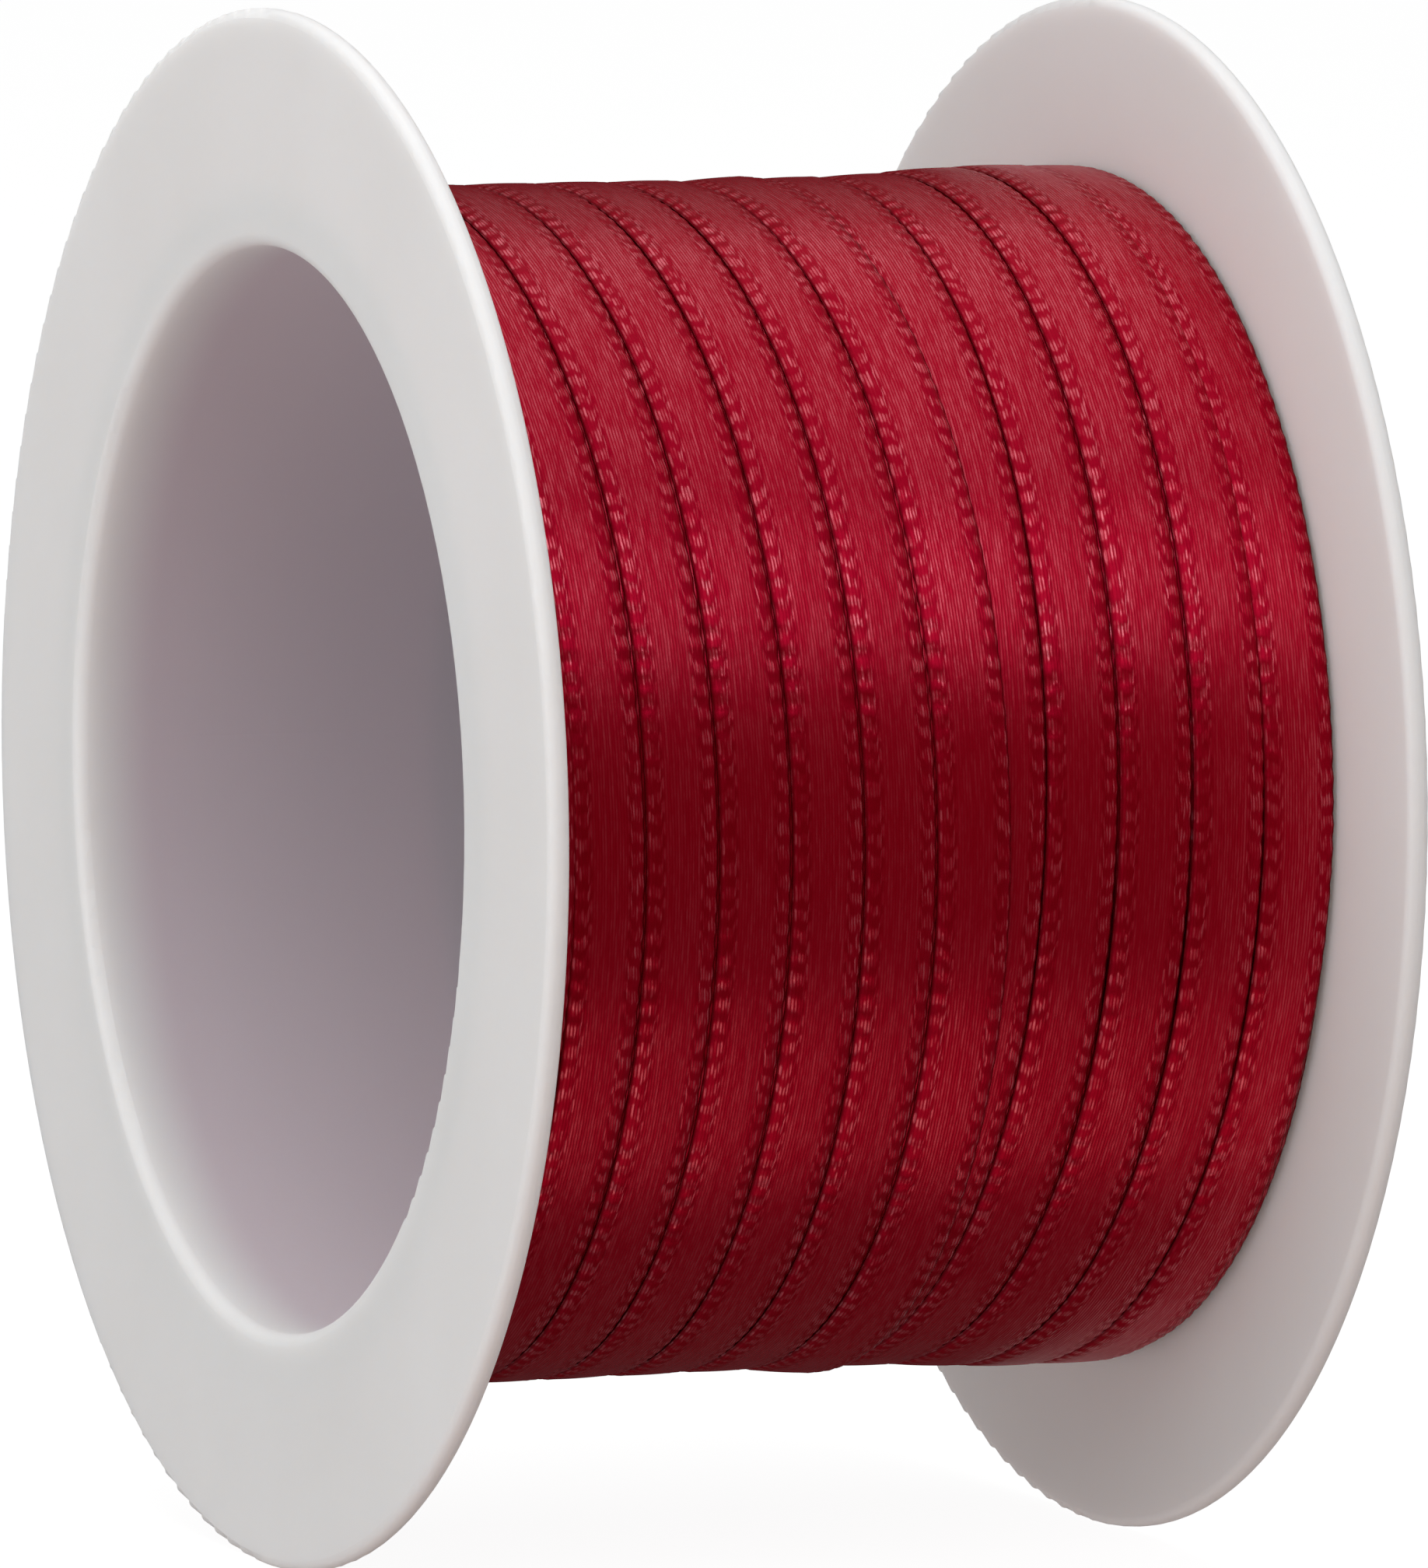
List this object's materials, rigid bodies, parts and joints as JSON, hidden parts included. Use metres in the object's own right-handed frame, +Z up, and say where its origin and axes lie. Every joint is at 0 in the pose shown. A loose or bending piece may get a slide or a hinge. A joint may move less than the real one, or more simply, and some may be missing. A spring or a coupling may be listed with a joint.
{
  "type": "ribbon spool",
  "caption": "Small plastic reel with two thin round flanges and a wide hollow hub, wound with narrow satin ribbon whose free end is taped down.",
  "frame": {"origin": "centre of the reel, on its axis and midway between the flanges", "axes": "+X along the reel's axis from the left flange to the right one, +Z up, and -Y towards the front"},
  "size_m": [0.0356, 0.06, 0.06],
  "materials": {
    "spool_plastic": "smooth translucent white moulding",
    "satin_ribbon": "dark red double-face satin with woven edges",
    "white_tape": "matt double-sided adhesive tab",
    "clear_tape": "clear adhesive film"
  },
  "bodies": {
    "spool": {"left_spool_half": "spool_plastic", "right_spool_half": "spool_plastic", "ribbon_winding": "satin_ribbon", "start_tape": "white_tape"},
    "tail": {"ribbon_tail": "satin_ribbon"},
    "tip": {"ribbon_tip": "satin_ribbon", "end_tape": "clear_tape"}
  },
  "joints": [
    {"name": "unwind", "type": "hinge", "parent": "spool", "child": "tail", "pos_m": [0, 0, 0], "axis": [1, 0, 0], "continuous": true},
    {"name": "lift", "type": "hinge", "parent": "tail", "child": "tip", "pos_m": [0.0032, 0.02208, 0.00804], "axis": [-1, 0, 0], "range_deg": [0, 110]}
  ]
}
